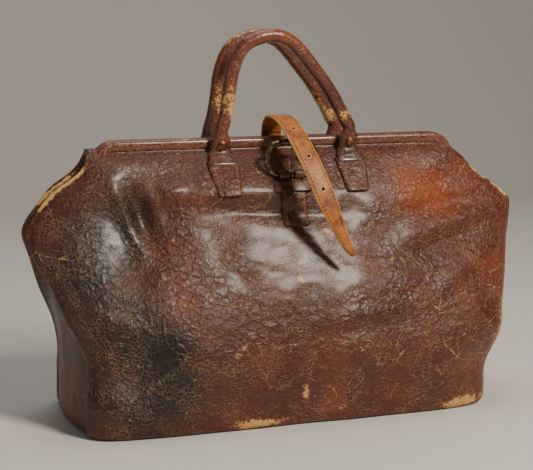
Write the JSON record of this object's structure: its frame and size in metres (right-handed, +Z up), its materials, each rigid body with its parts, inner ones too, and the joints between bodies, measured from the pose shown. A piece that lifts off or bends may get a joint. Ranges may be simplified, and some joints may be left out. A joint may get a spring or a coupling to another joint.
{
  "type": "doctor bag",
  "caption": "Leather doctor bag with a hinged two-jaw frame, rolled handles on each jaw, folded ends with ears, and a strap from the rear jaw over the frame to a roller buckle.",
  "frame": {"origin": "centre of the bounding box on the floor, under the bag", "axes": "+X along the bag, -Y to the front with the buckle, +Z up"},
  "size_m": [0.525, 0.203, 0.39],
  "materials": {
    "brown_leather": "glossy, cracked and worn",
    "handle_leather": "polished by use, cracked",
    "strap_leather": "matt, edges worn pale",
    "lining": "plain woven cotton",
    "board": "matt",
    "rope": "twisted cord",
    "steel": "dull",
    "bronze": "dark, rubbed bright on the high points"
  },
  "bodies": {
    "bag_body": {"base_panel": "brown_leather", "base_board": "board", "base_lining": "lining", "front_panel_lower": "brown_leather", "rear_panel_lower": "brown_leather", "front_lining_lower": "lining", "rear_lining_lower": "lining", "left_gusset": "brown_leather", "left_gusset_lining": "lining", "right_gusset": "brown_leather", "right_gusset_lining": "lining", "left_hinge_pin": "steel", "right_hinge_pin": "steel"},
    "front_jaw": {"front_jaw_bar": "steel", "front_jaw_cover": "handle_leather", "front_panel_upper": "brown_leather", "front_lining_upper": "lining", "front_tab_left": "brown_leather", "front_tab_right": "brown_leather", "front_handle_end_left": "handle_leather", "front_handle_end_right": "handle_leather", "front_rivet_left": "bronze", "front_rivet_right": "bronze", "buckle_chape": "brown_leather", "buckle_keeper": "brown_leather"},
    "rear_jaw": {"rear_jaw_bar": "steel", "rear_jaw_cover": "handle_leather", "rear_panel_upper": "brown_leather", "rear_lining_upper": "lining", "rear_tab_left": "brown_leather", "rear_tab_right": "brown_leather", "rear_handle_end_left": "handle_leather", "rear_handle_end_right": "handle_leather", "rear_rivet_left": "bronze", "rear_rivet_right": "bronze", "strap_base": "strap_leather"},
    "front_handle": {"front_handle_cover": "handle_leather", "front_handle_rope": "rope"},
    "rear_handle": {"rear_handle_cover": "handle_leather", "rear_handle_rope": "rope"},
    "buckle": {"buckle_frame": "bronze"},
    "prong": {"buckle_prong": "bronze"},
    "roller": {"buckle_roller": "bronze"},
    "strap_tail": {"strap": "strap_leather"}
  },
  "joints": [
    {"name": "front_jaw_open", "type": "hinge", "parent": "bag_body", "child": "front_jaw", "pos_m": [0, 0, 0.20513], "axis": [1, 0, 0], "range_deg": [0, 45], "deforming": ["buckle_chape", "buckle_keeper"]},
    {"name": "rear_jaw_open", "type": "hinge", "parent": "bag_body", "child": "rear_jaw", "pos_m": [0, 0, 0.20513], "axis": [-1, 0, 0], "range_deg": [0, 45], "deforming": ["strap_base"]},
    {"name": "front_handle_fold", "type": "hinge", "parent": "front_jaw", "child": "front_handle", "pos_m": [0.002, -0.0193, 0.2883], "axis": [1, 0, 0], "range_deg": [0, 75]},
    {"name": "rear_handle_fold", "type": "hinge", "parent": "rear_jaw", "child": "rear_handle", "pos_m": [0.002, 0.0193, 0.2883], "axis": [-1, 0, 0], "range_deg": [0, 75]},
    {"name": "buckle_flip", "type": "hinge", "parent": "front_jaw", "child": "buckle", "pos_m": [0, -0.0398, 0.24489], "axis": [1, 0, 0], "range_deg": [0, 45]},
    {"name": "prong_flip", "type": "hinge", "parent": "buckle", "child": "prong", "pos_m": [0, -0.0398, 0.24489], "axis": [1, 0, 0], "range_deg": [0, 45]},
    {"name": "roller_spin", "type": "hinge", "parent": "buckle", "child": "roller", "pos_m": [0, -0.0398, 0.27789], "axis": [1, 0, 0], "continuous": true},
    {"name": "strap_lift", "type": "hinge", "parent": "rear_jaw", "child": "strap_tail", "pos_m": [0, 0.0168, 0.283], "axis": [-1, 0, 0], "range_deg": [0, 50]}
  ],
  "couplings": [
    {"joint": "rear_jaw_open", "follows": "front_jaw_open", "ratio": 1}
  ]
}
